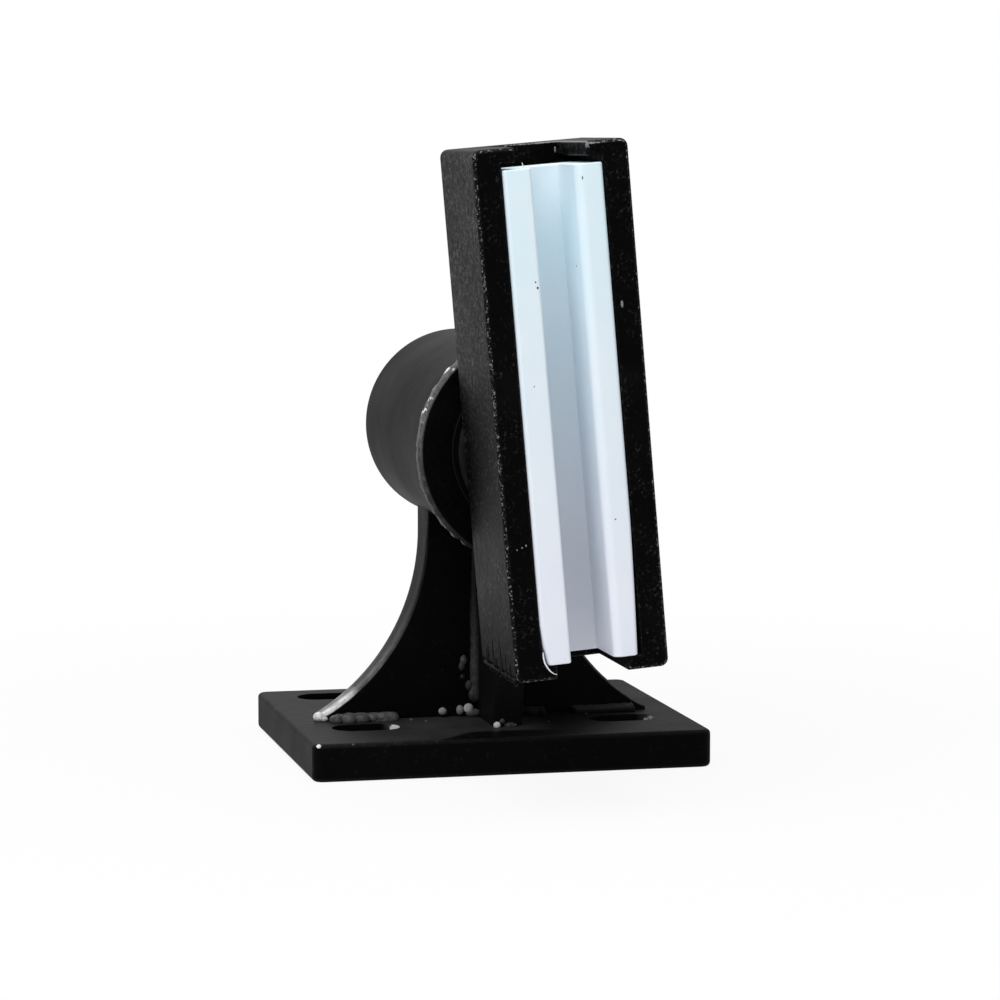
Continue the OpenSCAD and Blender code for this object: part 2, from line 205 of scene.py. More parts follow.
def paint_skin_group():
    """Brushed-on black paint: pebbles, soft waves, dull patches, and bright flecks that are painted glints."""
    group, takes, gives = new_group(
        "paint_skin",
        [("Place", "Vector"), ("Pebbles", "Float"), ("Relief", "Float"), ("Flecks", "Float"),
         ("Gloss", "Float"), ("Settled", "Float"), ("Even", "Float"), ("Paint", "Color"), ("Dust", "Color")],
        [("Colour", "Color"), ("Roughness", "Float"), ("Height", "Float")])
    where = takes["Place"]
    pebble = grain(group, where, takes["Pebbles"], 3.0, 0.62)
    cells = add(group, "TexVoronoi", {"feature": "SMOOTH_F1"}, Vector=where,
                Scale=sums(group, "MULTIPLY", takes["Pebbles"], 0.55)).outputs["Distance"]
    waves = grain(group, where, 110.0, 2.0)
    patches = grain(group, where, 38.0, 4.0, 0.6)
    height = sums(group, "MULTIPLY_ADD", sums(group, "SUBTRACT", pebble, cells), takes["Relief"],
                  sums(group, "MULTIPLY", waves, 0.35))
    speck = grain(group, where, sums(group, "MULTIPLY", takes["Pebbles"], 1.1), 3.0, 0.75)
    drift = grain(group, where, 130.0, 3.0, 0.7)
    spread = sums(group, "MAXIMUM", span(group, drift, 0.42, 0.62), takes["Even"])
    least = sums(group, "MULTIPLY_ADD", takes["Even"], -0.09, 0.54)
    painted_glint = sums(group, "MULTIPLY", span(group, speck, least, sums(group, "ADD", least, 0.16)), spread)
    painted_glint = sums(group, "MULTIPLY", painted_glint, takes["Flecks"])
    dull = sums(group, "MULTIPLY", span(group, patches, 0.5, 0.8), 0.06)
    dull = sums(group, "MULTIPLY_ADD", takes["Settled"], span(group, patches, 0.25, 0.75, 0.5, 1.0), dull)
    colour = blend_colours(group, sums(group, "MAXIMUM", painted_glint, dull), takes["Paint"], takes["Dust"])
    rough = sums(group, "MULTIPLY_ADD", sums(group, "SUBTRACT", patches, 0.5), 0.25, takes["Gloss"])
    rough = sums(group, "SUBTRACT", rough, sums(group, "MULTIPLY", painted_glint, 0.25))
    for name, value in (("Colour", colour), ("Roughness", rough), ("Height", height)):
        feed(group, gives[name], value)
    return group


def edge_wear_group():
    """Wear where an edge is rounded, from the piece's own worn value, which on some pieces carries painted
    highlights: broken specks, and an even rub.
    """
    group, takes, gives = new_group(
        "edge_wear",
        [("Place", "Vector"), ("Worn", "Float"), ("Scale", "Float"), ("Specks", "Float"), ("Rub", "Float")],
        [("Mask", "Float")])
    torn = grain(group, takes["Place"], takes["Scale"], 4.0, 0.7)
    edge = sums(group, "SUBTRACT", 1.0, sums(group, "MULTIPLY", takes["Worn"], takes["Specks"]))
    broken = span(group, torn, sums(group, "SUBTRACT", edge, 0.1), edge)
    even = sums(group, "MULTIPLY", sums(group, "MULTIPLY", takes["Worn"], takes["Rub"]),
                span(group, torn, 0.3, 0.7, 0.55, 1.15))
    feed(group, gives["Mask"], sums(group, "MAXIMUM", broken, even))
    return group


def streaks_group():
    """Fine lines along one direction, from drawing, turning or planing."""
    group, takes, gives = new_group(
        "streaks", [("Place", "Vector"), ("Stretch", "Vector")], [("Lines", "Float")])
    laid = add(group, "Mapping", {"vector_type": "POINT"}, Vector=takes["Place"], Scale=takes["Stretch"])
    feed(group, gives["Lines"], grain(group, laid.outputs[0], 1.0, 3.0, 0.55))
    return group


PAINT_SKIN, EDGE_WEAR, STREAKS = paint_skin_group(), edge_wear_group(), streaks_group()


def new_material(name):
    """A material with its Principled shader, its tree and the object's own coordinates."""
    material = bpy.data.materials.new(name)
    material.use_nodes = True
    tree = material.node_tree
    shader = tree.nodes["Principled BSDF"]
    where = tree.nodes.new("ShaderNodeTexCoord").outputs["Object"]
    return material, tree, shader, where


def bump(tree, shader, height, depth, strength=1.0):
    made = add(tree, "Bump", Height=height, Distance=depth * MM, Strength=strength)
    tree.links.new(made.outputs[0], shader.inputs["Normal"])


def dust_with_painted_shade(tree, where, dust):
    """Dust is thickest beside the rib and is thinned on the right as painted shade; along the middle and right
    of the front edge it is left off.
    """
    across, along, _ = add(tree, "SeparateXYZ", Vector=where).outputs
    # Thinning the dust on the right is painted shade.
    thick = sums(tree, "ADD", span(tree, across, -0.035, -0.012, 0.9, 1.5),
                 span(tree, across, 0.0, 0.016, 0, -1.42))
    reach = sums(tree, "MULTIPLY", span(tree, across, -0.021, -0.008),
                 span(tree, across, 0.002, 0.046, 0.0104, 0.0015))
    inside = sums(tree, "SUBTRACT", sums(tree, "ADD", along, 0.0458), reach)
    return sums(tree, "MULTIPLY", sums(tree, "MULTIPLY", dust, thick), span(tree, inside, -0.001, 0.0025))


def left_side_glints(tree, where, facing, most):
    """Left faces, which face the key lamp, get painted glints all over, more so higher up."""
    high = span(tree, add(tree, "SeparateXYZ", Vector=where).outputs["Z"], 0.05, 0.12, 0.1, most)
    return sums(tree, "MULTIPLY", span(tree, facing["X"], -0.95, -0.6, 1.0, 0.0), high)


def black_paint(name, pebbles, relief, glint_amount, gloss, depth, specks, bare_and_glint=(0.16, 0.16, 0.165, 1), rub=0.05,
                tear=900.0, settled=0.6, specular=0.03, paint=0.0013, painted_shade_in_dust=False, laid=None,
                speck=0.03, left_glints=0.0):
    """Black paint: its own skin, dust where it looks up, and bare metal where the piece is worn; on some pieces
    that bare colour is a painted highlight.
    """
    material, tree, shader, where = new_material(name)
    facing = add(tree, "SeparateXYZ", Vector=tree.nodes["Texture Coordinate"].outputs["Normal"]).outputs
    dust = span(tree, facing["Z"], 0.55, 1.0, 0.0, settled)
    # On the plate the dust also carries painted shade.
    if painted_shade_in_dust:
        dust = dust_with_painted_shade(tree, where, dust)
    even = left_side_glints(tree, where, facing, left_glints) if left_glints else 0.0
    brushed = add(tree, "Mapping", Vector=where, Scale=laid).outputs[0] if laid else where
    skin = use(tree, PAINT_SKIN, Place=brushed, Pebbles=pebbles, Relief=relief, Gloss=gloss, Settled=dust,
               Flecks=glint_amount, Even=even, Paint=(paint, paint, 1.1 * paint, 1),
               Dust=(speck, speck, 1.03 * speck, 1))
    worn = add(tree, "Attribute", {"attribute_name": WEAR_AND_PAINTED_LIGHT}).outputs["Fac"]
    mask = use(tree, EDGE_WEAR, Place=where, Worn=worn, Scale=tear, Specks=specks, Rub=rub)["Mask"]
    feed(tree, shader.inputs["Base Color"], blend_colours(tree, mask, skin["Colour"], bare_and_glint))
    feed(tree, shader.inputs["Roughness"], skin["Roughness"])
    shader.inputs["Specular IOR Level"].default_value = specular
    bump(tree, shader, skin["Height"], depth)
    return material


def bare_steel(name, colour, stretch, gloss):
    material, tree, shader, where = new_material(name)
    lines = use(tree, STREAKS, Place=where, Stretch=stretch)["Lines"]
    spots = grain(tree, where, 240.0, 4.0, 0.65)
    dark = [0.45 * part for part in colour[:3]] + [1]
    stain = span(tree, spots, 0.5, 0.78)
    feed(tree, shader.inputs["Base Color"], blend_colours(tree, stain, colour, dark))
    feed(tree, shader.inputs["Roughness"], sums(tree, "MULTIPLY_ADD", lines, 0.22, gloss))
    shader.inputs["Metallic"].default_value = 1.0
    bump(tree, shader, lines, 0.03, 0.6)
    return material


def liner_white(name):
    """Milk-white running plastic: blue-white above and a little lilac below, painted as light from above, faint
    planing lines, and painted shade in the slot.
    """
    material, tree, shader, where = new_material(name)
    height = add(tree, "SeparateXYZ", Vector=where).outputs["Z"]
    lit_from_above = span(tree, height, 0.03, 0.165)
    lines = use(tree, STREAKS, Place=where, Stretch=(700.0, 700.0, 14.0))["Lines"]
    cloud = grain(tree, where, 55.0, 3.0)
    body = blend_colours(tree, lit_from_above, (0.80, 0.83, 0.92, 1), (0.72, 0.87, 0.94, 1))
    body = blend_colours(tree, span(tree, cloud, 0.4, 0.7, 0.0, 0.35), body, (0.86, 0.90, 0.94, 1))
    # The mesh value here is painted shade in the slot, darker lower down.
    slot_shade = add(tree, "Attribute", {"attribute_name": WEAR_AND_PAINTED_LIGHT}).outputs["Fac"]
    dirt_and_shade = sums(tree, "MULTIPLY", span(tree, grain(tree, where, 900.0, 3.0, 0.7), 0.66, 0.78), 0.25)
    dirt_and_shade = sums(tree, "MAXIMUM", dirt_and_shade, sums(tree, "MULTIPLY", slot_shade, span(tree, cloud, 0.2, 0.8, 0.3, 0.5)))
    feed(tree, shader.inputs["Base Color"], blend_colours(tree, dirt_and_shade, body, (0.45, 0.48, 0.52, 1)))
    feed(tree, shader.inputs["Roughness"], sums(tree, "MULTIPLY_ADD", lines, 0.2, 0.32))
    shader.inputs["Specular IOR Level"].default_value = 0.35
    bump(tree, shader, lines, 0.03, 0.5)
    return material


def soft_rubber(name):
    material, tree, shader, where = new_material(name)
    bloom = grain(tree, where, 130.0, 4.0, 0.6)
    pores = grain(tree, where, 1500.0, 2.0)
    dusty = span(tree, bloom, 0.45, 0.75)
    feed(tree, shader.inputs["Base Color"],
         blend_colours(tree, dusty, (0.008, 0.008, 0.008, 1), (0.025, 0.025, 0.026, 1)))
    feed(tree, shader.inputs["Roughness"], sums(tree, "MULTIPLY_ADD", pores, 0.2, 0.6))
    shader.inputs["Specular IOR Level"].default_value = 0.03
    bump(tree, shader, pores, 0.05, 0.5)
    return material


def bush_plastic(name):
    material, tree, shader, where = new_material(name)
    lines = use(tree, STREAKS, Place=where, Stretch=(60.0, 1400.0, 60.0))["Lines"]
    tone = grain(tree, where, 90.0, 3.0)
    feed(tree, shader.inputs["Base Color"],
         blend_colours(tree, tone, (0.60, 0.54, 0.38, 1), (0.72, 0.67, 0.52, 1)))
    feed(tree, shader.inputs["Roughness"], sums(tree, "MULTIPLY_ADD", lines, 0.2, 0.4))
    bump(tree, shader, lines, 0.04, 0.6)
    return material


# Pebbles, relief, painted glints, gloss, depth and specks of each paint
HEAD_PAINT = black_paint("head_paint", 950.0, 0.8, 0.55, 0.46, 0.16, 0.37, bare_and_glint=(0.2, 0.2, 0.205, 1), rub=0.02,
                         tear=1300.0, settled=0.3, specular=0.02, laid=(1, 0.62, 1), speck=0.052,
                         left_glints=0.7)
PLATE_PAINT = black_paint("plate_paint", 700.0, 0.35, 0.2, 0.5, 0.16, 0.31, bare_and_glint=(0.11, 0.11, 0.112, 1),
                          rub=0.06, tear=460.0, settled=0.8, specular=0.025, painted_shade_in_dust=True)
RIB_PAINT = black_paint("rib_paint", 700.0, 0.35, 0.25, 0.5, 0.16, 0.3, paint=0.005, specular=0.025)
WEB_PAINT = black_paint("web_paint", 700.0, 0.4, 0.2, 0.5, 0.16, 0.1, bare_and_glint=(0.78, 0.78, 0.79, 1), rub=1.0,
                        tear=380.0)
BARREL_PAINT = black_paint("barrel_paint", 500.0, 0.12, 0.0, 0.5, 0.1, 0.25, settled=0.35)
RIM_PAINT = black_paint("rim_paint", 800.0, 0.5, 0.12, 0.34, 0.2, 0.46, bare_and_glint=(0.75, 0.75, 0.76, 1), rub=0.24,
                        tear=760.0)
BEAD_PAINT = black_paint("bead_paint", 600.0, 0.4, 0.2, 0.26, 0.16, 0.1, bare_and_glint=(0.8, 0.8, 0.8, 1), rub=1.0,
                         specular=0.08)
# The slots' bright right end walls are a painted highlight.
SLOT_END_HIGHLIGHT = black_paint("slot_end_highlight", 700.0, 0.35, 0.2, 0.5, 0.16, 0.34, bare_and_glint=(0.66, 0.66, 0.67, 1), rub=0.06,
                         tear=420.0)
WASHER_BLACK = black_paint("washer_black", 600.0, 0.2, 0.1, 0.42, 0.08, 0.2)
ZINC = bare_steel("zinc_steel", (0.43, 0.44, 0.45, 1), (500.0, 60.0, 500.0), 0.26)
WHITE = liner_white("liner_white")
RUBBER = soft_rubber("rubber")
NYLON = bush_plastic("bush_plastic")


# ---------------------------------------------------------------- mesh steps
def start_mesh():
    bm = bmesh.new()
    bm.verts.layers.float.new(WEAR_AND_PAINTED_LIGHT)
    return bm


def everything(bm):
    return bm.verts[:] + bm.edges[:] + bm.faces[:]


def pull(bm, faces, move):
    """Extrudes faces by a move and gives the faces that moved. On a solid, the faces left inside go."""
    made = bmesh.ops.extrude_face_region(bm, geom=faces)["geom"]
    bmesh.ops.translate(bm, verts=[g for g in made if isinstance(g, bmesh.types.BMVert)], vec=move)
    if any(len(edge.link_faces) > 2 for face in faces for edge in face.edges):
        bmesh.ops.delete(bm, geom=faces, context="FACES")
    return [g for g in made if isinstance(g, bmesh.types.BMFace)]


def cut(bm, at, facing):
    bmesh.ops.bisect_plane(bm, geom=everything(bm), dist=1e-7, plane_co=at, plane_no=facing)


def tidy(bm):
    """Merges doubles, joins flat neighbours and turns the faces outwards."""
    bmesh.ops.remove_doubles(bm, verts=bm.verts, dist=1e-6)
    bmesh.ops.dissolve_limit(bm, angle_limit=math.radians(0.5), verts=bm.verts[:], edges=bm.edges[:])
    bmesh.ops.recalc_face_normals(bm, faces=bm.faces)


def corners(bm, degrees=50, choose=None):
    """The sharp outward edges, or those of them that choose() picks by their middle and run."""
    found = []
    for edge in bm.edges:
        if len(edge.link_faces) != 2 or edge.calc_face_angle(0) < math.radians(degrees):
            continue
        if not edge.is_convex:
            continue
        middle = (edge.verts[0].co + edge.verts[1].co) / 2 / MM
        if choose is None or choose(middle, (edge.verts[0].co - edge.verts[1].co) / MM):
            found.append(edge)
    return found


def soften(bm, edges, width, segments=3, worn=1.0):
    """Rounds edges over, and marks the rounding as worn."""
    if not edges:
        return
    made = bmesh.ops.bevel(bm, geom=edges, offset=width * MM, offset_type="OFFSET", segments=segments,
                           profile=0.5, affect="EDGES", clamp_overlap=True, loop_slide=False, material=-1)
    layer = bm.verts.layers.float[WEAR_AND_PAINTED_LIGHT]
    rounded = set(made["faces"])
    for vert in made["verts"]:
        if all(face in rounded for face in vert.link_faces):
            vert[layer] = worn


def quad(bm, width, depth):
    """A flat rectangle about the origin, in the XY plane."""
    made = bmesh.ops.create_grid(bm, x_segments=1, y_segments=1, size=0.5)["verts"]
    bmesh.ops.scale(bm, vec=(width * MM, depth * MM, 1), verts=made)
    return made


def chain(bm, points):
    """A few vertices joined in a row."""
    verts = [bm.verts.new(mm(*point)) for point in points]
    for first, second in zip(verts, verts[1:]):
        bm.edges.new((first, second))
    return verts


def sweep(bm, vert, centre, angle, steps):
    """Carries a vertex round a centre, about +Y, and gives the last one."""
    made = bmesh.ops.spin(bm, geom=[vert], cent=mm(*centre), axis=(0, 1, 0), angle=angle, steps=steps)
    return next(g for g in made["geom_last"] if isinstance(g, bmesh.types.BMVert))


def turned_ring(bm, profile, steps=96):
    """Spins a closed profile of (radius, y) places about the Y axis."""
    verts = chain(bm, [(radius, y, 0) for radius, y in profile])
    bm.edges.new((verts[-1], verts[0]))
    edges = [edge for edge in bm.edges if edge.verts[0] in verts and edge.verts[1] in verts]
    bmesh.ops.spin(bm, geom=verts + edges, cent=(0, 0, 0), axis=(0, 1, 0), angle=math.tau, steps=steps,
                   use_merge=True)


def rod_along(bm, points, radii, sides=12):
    """A round rod through points, with its own radius at each: extruded, moved and turned."""
    points = [Vector(point) * MM for point in points]
    ahead = [(b - a).normalized() for a, b in zip(points, points[1:])]
    ahead.append(ahead[-1])
    facing = Vector((0, 0, 1)).rotation_difference(ahead[0]).to_matrix().to_4x4()
    start = bmesh.ops.create_circle(bm, cap_ends=True, segments=sides, radius=radii[0] * MM,
                                    matrix=Matrix.Translation(points[0]) @ facing)["verts"]
    cap = [face for face in start[0].link_faces]
    for here in range(1, len(points)):
        cap = pull(bm, cap, points[here] - points[here - 1])
        verts = list({vert for face in cap for vert in face.verts})
        turn = ahead[here - 1].rotation_difference(ahead[here]).to_matrix()
        bmesh.ops.rotate(bm, cent=points[here], matrix=turn, verts=verts)
        grow = radii[here] / radii[here - 1]
        bmesh.ops.scale(bm, vec=(grow, grow, grow), space=Matrix.Translation(-points[here]), verts=verts)


def blob(bm, at, radius, squash):
    """A small round lump, stretched along the axes."""
    made = bmesh.ops.create_icosphere(bm, subdivisions=2, radius=radius * MM)["verts"]
    bmesh.ops.scale(bm, vec=squash, verts=made)
    bmesh.ops.translate(bm, vec=mm(*at), verts=made)
    return made


def lumps(bm, rows):
    """Adds lumps, each painted as bright as its row says, as a painted highlight."""
    layer = bm.verts.layers.float[WEAR_AND_PAINTED_LIGHT]
    for at, radius, squash, bare_and_glint in rows:
        for vert in blob(bm, at, radius, squash):
            vert[layer] = bare_and_glint


def bead(bm, points, leg, pitch, ripple):
    """A run of weld scales, each of its own length and size, laid over one another."""
    points = [Vector(point) for point in points]
    pieces = list(zip(points, points[1:]))
    marks, walked = [], 0.0
    whole = sum((second - first).length for first, second in pieces)
    while walked < whole:
        length, size = pitch * DICE.uniform(0.6, 1.5), DICE.uniform(0.84, 1.14)
        for step, swell in enumerate((0.9, 1.0, 1.04, 1.02, 0.97)):
            marks.append((walked + length * step / 5, 0.74 * leg * (1 + ripple * (swell * size - 1))))
        walked += length
    places, radii, passed = [], [], 0.0
    for first, second in pieces:
        run = (second - first).length
        for mark, radius in marks:
            if passed <= mark < passed + run:
                places.append(first.lerp(second, (mark - passed) / run))
                radii.append(radius)
        passed += run
    radii[0] *= 0.7
    radii[-1] *= 0.7
    rod_along(bm, places, radii)


def arc(radius, y, first, last, steps, centre=(0, 0)):
    """Places round the barrel's axis, by degrees from straight up towards +X."""
    turns = [math.radians(first + (last - first) * step / steps) for step in range(steps + 1)]
    return [(centre[0] + radius * math.sin(t), y, centre[1] + radius * math.cos(t)) for t in turns]


def finish_piece(name, bm, material, body, nodes=(), place=None, smooth=38, weighted=True):
    """Places the mesh, shades it, and puts it on its body in place of its solids."""
    if place is not None:
        bmesh.ops.transform(bm, matrix=place, verts=bm.verts)
    bmesh.ops.remove_doubles(bm, verts=bm.verts, dist=1e-6)
    bmesh.ops.recalc_face_normals(bm, faces=bm.faces)
    mesh = bpy.data.meshes.new(name)
    bm.to_mesh(mesh)
    bm.free()
    mesh.materials.append(material)
    mesh.shade_smooth()
    mesh.set_sharp_from_angle(angle=math.radians(smooth))
    piece = bpy.data.objects.new(name, mesh)
    bpy.context.scene.collection.objects.link(piece)
    if weighted:
        even = piece.modifiers.new("even_shading", "WEIGHTED_NORMAL")
        even.keep_sharp = True
    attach(piece, body)
    if nodes:
        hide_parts(*nodes)
    return piece


def finish_beads(name, bm, nodes=(), place=None):
    return finish_piece(name, bm, BEAD_PAINT, "pedestal", nodes, place, BEAD_SMOOTH, False)


def painted_lit_slot_end(bm, layer, middle, bare_and_glint):
    """The right end wall of a slot faces the key lamp: it is painted bright as a painted highlight, most at the
    top, in a paint of its own.
    """
    wall = SLOT_R + 0.4
    for vert in bm.verts:
        at = (vert.co - middle) / MM
        beyond = max(abs(at.x) - SLOT_REACH, 0)
        if beyond ** 2 + at.y ** 2 > wall ** 2 or at.z > BASE_T - 0.1:
            continue
        turn = math.atan2(at.y, at.x - SLOT_REACH)
        if at.x > SLOT_REACH and abs(turn) < 1.2:
            vert[layer] = bare_and_glint * math.cos(turn * 1.3) * (1 if at.z > BASE_T - 3 else 0.4)
    for face in bm.faces:
        at = (face.calc_center_median() - middle) / MM
        at_end = 0.8 < at.x - SLOT_REACH < wall and abs(at.y) < SLOT_R
        if at_end and face.normal.x < -0.3:
            face.material_index = 1


# ---------------------------------------------------------------- pedestal
def make_foot_plate():
    bm = start_mesh()
    outline = quad(bm, BASE_W, BASE_D)
    bmesh.ops.bevel(bm, geom=outline, offset=BASE_CORNER * MM, offset_type="OFFSET", segments=6, profile=0.5,
                    affect="VERTICES", material=-1)
    bmesh.ops.delete(bm, geom=bm.faces[:], context="FACES_ONLY")
    for side in (-1, 1):
        for row in SLOT_ROWS:
            ring = bmesh.ops.create_circle(bm, segments=32, radius=SLOT_R * MM)["verts"]
            for end in (-1, 1):
                half = [vert for vert in ring if vert.co.x * end > 0.2 * MM]
                bmesh.ops.translate(bm, vec=mm(end * SLOT_REACH, 0, 0), verts=half)
            bmesh.ops.translate(bm, vec=mm(side * SLOT_X, row, 0), verts=ring)
    bmesh.ops.triangle_fill(bm, use_beauty=True, edges=bm.edges[:])
    pull(bm, bm.faces[:], mm(0, 0, BASE_T))
    tidy(bm)

    def outer(middle, run):
        return abs(run.z) < 1 and (abs(middle.x) > BASE_W / 2 - 4 or abs(middle.y) > BASE_D / 2 - 4)

    soften(bm, corners(bm, choose=outer), BASE_EDGE, 4)
    soften(bm, corners(bm, choose=lambda middle, run: abs(run.z) < 1), 0.5, 2)
    for depth in (1.4, 4):
        cut(bm, mm(0, 0, BASE_T - depth), (0, 0, 1))
    layer = bm.verts.layers.float[WEAR_AND_PAINTED_LIGHT]
    # The front left slot's end carries the strongest painted highlight.
    for side in (-1, 1):
        for row in SLOT_ROWS:
            painted_lit_slot_end(bm, layer, mm(side * SLOT_X, row, 0), 2.6 if side < 0 and row < 0 else 1.7)
    # The front edge's right half has kept its paint
    for vert in bm.verts:
        if vert.co.x > 5 * MM and vert.co.y < (2 - BASE_D / 2) * MM:
            vert[layer] *= 0.6
    plate = finish_piece("foot_plate", bm, PLATE_PAINT, "pedestal", ["base_plate"])
    plate.data.materials.append(SLOT_END_HIGHLIGHT)
    return plate


def make_web():
    bm = start_mesh()
    toe = chain(bm, [(0, WEB_BACK, BASE_T), (FOOT, WEB_BACK, BASE_T), (FOOT, WEB_BACK, TOE_Z)])[-1]
    angle = math.pi / 2 - math.atan2(FLANK_X - FOOT, FLANK_Z - TOE_Z)
    neck = sweep(bm, toe, (FLANK_X, 0, FLANK_Z), angle, 28)
    seat_r = BARREL_R - 0.4
    seat = bm.verts.new(mm(NECK, WEB_BACK, AXIS_Z - math.sqrt(seat_r ** 2 - NECK ** 2)))
    bm.edges.new((neck, seat))
    sweep(bm, seat, (0, 0, AXIS_Z), math.asin(NECK / seat_r), 10)
    bmesh.ops.mirror(bm, geom=everything(bm), axis="X", merge_dist=1e-6)
    bmesh.ops.remove_doubles(bm, verts=bm.verts, dist=1e-6)
    bmesh.ops.contextual_create(bm, geom=bm.edges[:])
    pull(bm, bm.faces[:], mm(0, WEB_FRONT - WEB_BACK, 0))
    bmesh.ops.recalc_face_normals(bm, faces=bm.faces)
    for y in (-6, -3, -1, 0.7):
        cut(bm, mm(0, y, 0), (0, 1, 0))
    soften(bm, corners(bm, choose=lambda middle, run: abs(run.y) < 1 and TOE_Z - 0.5 < middle.z < 67),
           0.7, 3, 0.1)
    # The left flank is worn: bare at its toe and rubbed below; its brightest band, along the middle of its
    # width, is a painted highlight of a rounded edge.
    layer = bm.verts.layers.float[WEAR_AND_PAINTED_LIGHT]
    for vert in bm.verts:
        place = vert.co / MM
        reach = math.hypot(abs(place.x) - FLANK_X, place.z - FLANK_Z)
        if place.x < 0 and place.z < FLANK_Z and abs(reach - FLANK_R) < 0.6:
            low = min(1, max(0, (18 - place.z) / 1.6))
            mid = min(1, max(0, (50 - place.z) / 26))
            across = 1.0 if -7 < place.y < -5 else 0.75 if place.y < -7 else 0.3
            vert[layer] = across * (0.02 + 0.14 * mid * mid + 0.8 * low * low * (3 - 2 * low))
    # The cut has hollowed both flanks towards the back
    for vert in bm.verts:
        place = vert.co / MM
        inward = Vector((abs(place.x) - FLANK_X, 0, place.z - FLANK_Z))
        if TOE_Z - 0.5 < place.z < FLANK_Z and place.y > -4.5 and abs(inward.length - FLANK_R) < 1.0:
            hollow = 0.9 * ((FLANK_Z - place.z) / 49) ** 2 * ((place.y + 4.5) / 7.5) ** 2
            inward = inward.normalized() * hollow * MM
            vert.co += Vector((math.copysign(1, place.x) * inward.x, 0, inward.z))
    return finish_piece("web", bm, WEB_PAINT, "pedestal", ["web_plate"])


def make_rib():
    bm = start_mesh()
    top = AXIS_Z - BARREL_R + 1.4
    lean = (top - BASE_T) / (AXIS_Z - BASE_T)
    foot, head = RIB_FOOT, RIB_FOOT + (RIB_HEAD - RIB_FOOT) * lean
    chain(bm, [(RIB_LEFT, WEB_FRONT, BASE_T), (RIB_LEFT, foot, BASE_T), (RIB_LEFT, head, top),
               (RIB_LEFT, WEB_FRONT, top)])
    bmesh.ops.contextual_create(bm, geom=bm.verts[:])
    pull(bm, bm.faces[:], mm(RIB_RIGHT - RIB_LEFT, 0, 0))
    bmesh.ops.recalc_face_normals(bm, faces=bm.faces)
    soften(bm, corners(bm, choose=lambda middle, run: abs(run.z) > 5 and middle.y < WEB_FRONT - 5), 0.9, 3)
    return finish_piece("rib", bm, RIB_PAINT, "pedestal", ["front_rib"])


def make_barrel():
    bm = start_mesh()
    turned_ring(bm, [(BORE_R, BARREL_FRONT), (BARREL_R, BARREL_FRONT), (BARREL_R, BARREL_BACK),
                     (BORE_R, BARREL_BACK)], 128)
    bmesh.ops.recalc_face_normals(bm, faces=bm.faces)
    soften(bm, corners(bm, choose=lambda middle, run: middle.y > BARREL_BACK - 1), 0.8, 3)
    return finish_piece("barrel_tube", bm, BARREL_PAINT, "pedestal", ["barrel"], ON_AXIS)


def make_cover():
    """The cover's rim is lumpy: paint has gathered in beads along it."""
    bm = start_mesh()
    rim = COVER_R - 0.8
    turned_ring(bm, [(PORT_R, COVER_FACE), (rim, COVER_FACE), (rim, BARREL_FRONT), (PORT_R, BARREL_FRONT)],
                240)
    bmesh.ops.recalc_face_normals(bm, faces=bm.faces)
    soften(bm, corners(bm, choose=lambda middle, run: math.hypot(middle.x, middle.z) > 20), 1.2, 4)
    soften(bm, corners(bm), 0.5, 2)
    layer = bm.verts.layers.float[WEAR_AND_PAINTED_LIGHT]
    for vert in bm.verts:
        out = Vector((vert.co.x, 0, vert.co.z))
        if out.length > (rim - 1.0) * MM:
            lump = noise.noise(vert.co * 560) * 0.6 + noise.noise(vert.co * 190) * 0.3
            vert.co += out.normalized() * min(0.48, lump * 0.7) * MM
            # The rim's lumps show bare metal, painted brighter towards the top as painted light and fading out
            # at the bottom as painted shade.
            height = out.normalized().z
            share = min(1.6, max(0.4, 1.0 + 1.2 * height)) * min(1, max(0.1, (height + 0.93) / 0.3))
            vert[layer] = (0.4 + 0.6 * min(1, max(0, lump * 2))) * share
    return finish_piece("front_cover", bm, RIM_PAINT, "pedestal", ["barrel_cover"], ON_AXIS)


def make_foot_beads():
    bm = start_mesh()
    lift, out, toe, run = 0.2, 0.9, FOOT - 3.5, 18
    rows = [(WEB_FRONT - out, (-toe, -toe + run)), (WEB_FRONT - out, (toe - run, toe)),
            (WEB_FRONT - out, (RIB_RIGHT, RIB_RIGHT + 11)),
            (WEB_BACK + out, (-toe, -toe + run)), (WEB_BACK + out, (toe - run, toe)),
            (WEB_BACK + out, (-11, 11))]
    for y, (left, right) in rows:
        bead(bm, [(left, y, BASE_T + lift), (right, y, BASE_T + lift)], 4.2, 3.2, 0.6)
    bmesh.ops.scale(bm, vec=(1, 1, 0.62), space=Matrix.Translation(mm(0, 0, -BASE_T)), verts=bm.verts)
    layer = bm.verts.layers.float[WEAR_AND_PAINTED_LIGHT]
    # The left toe's bead is painted lighter, as painted light on the lit side.
    for vert in bm.verts:
        if vert.co.x < -15 * MM and vert.co.y < WEB_FRONT * MM:
            vert[layer] = 0.05 + 0.1 * abs(noise.noise(vert.co * 400))
    # In front and right of the rib the beads take a duller black paint as painted shade
    for face in bm.faces:
        middle = face.calc_center_median()
        if middle.x > 0 and middle.y < 0:
            face.material_index = 1
    beads = finish_beads("foot_beads", bm, ["foot_weld"])
    beads.data.materials.append(WASHER_BLACK)
    return beads


